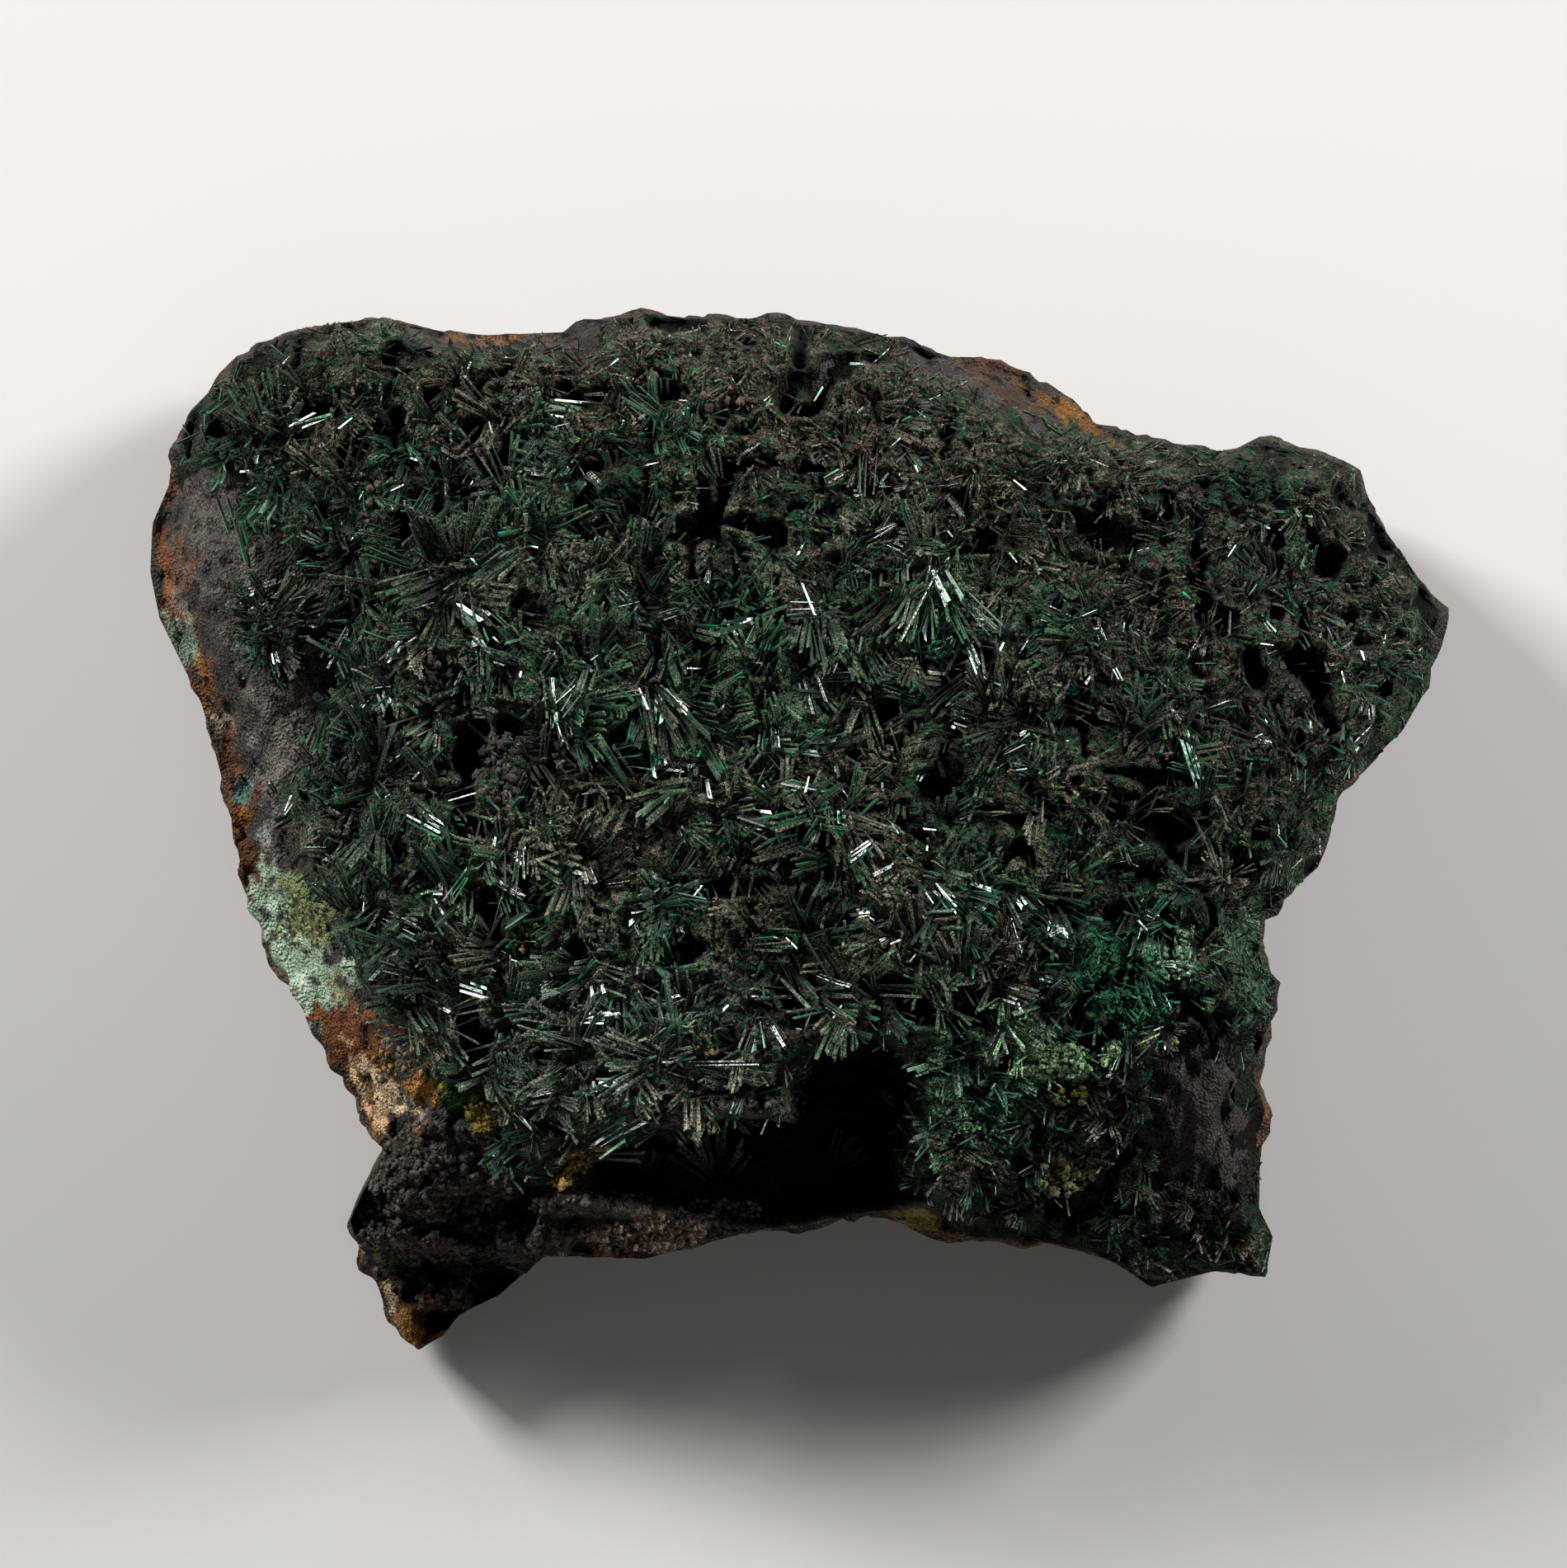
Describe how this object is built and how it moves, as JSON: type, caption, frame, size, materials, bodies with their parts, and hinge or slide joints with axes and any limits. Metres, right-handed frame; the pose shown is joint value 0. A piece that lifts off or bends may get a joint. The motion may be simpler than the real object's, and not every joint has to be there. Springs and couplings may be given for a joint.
{
  "type": "atacamite specimen",
  "caption": "Slab of iron-stained rock with a flat sawn back, its face carpeted with radiating sprays of dark green bladed crystals, with a hollow under their lower lip.",
  "frame": {"origin": "on the sawn back, under the middle of the slab", "axes": "+Z out of the crystal-covered face, away from the sawn back; +X along the slab's length; +Y across it, towards its long straight edge"},
  "size_m": [0.0785, 0.0635, 0.0247],
  "materials": {
    "matrix_rock": "rough, iron-stained rock",
    "carpet_crystals": "glassy blades under fine dust",
    "hollow_crystals": "glassy blades",
    "lone_spray_crystals": "glassy blades"
  },
  "bodies": {
    "root": {"matrix": "matrix_rock", "crystal_carpet": "carpet_crystals", "hollow_crystals": "hollow_crystals", "lone_spray": "lone_spray_crystals"}
  },
  "joints": []
}
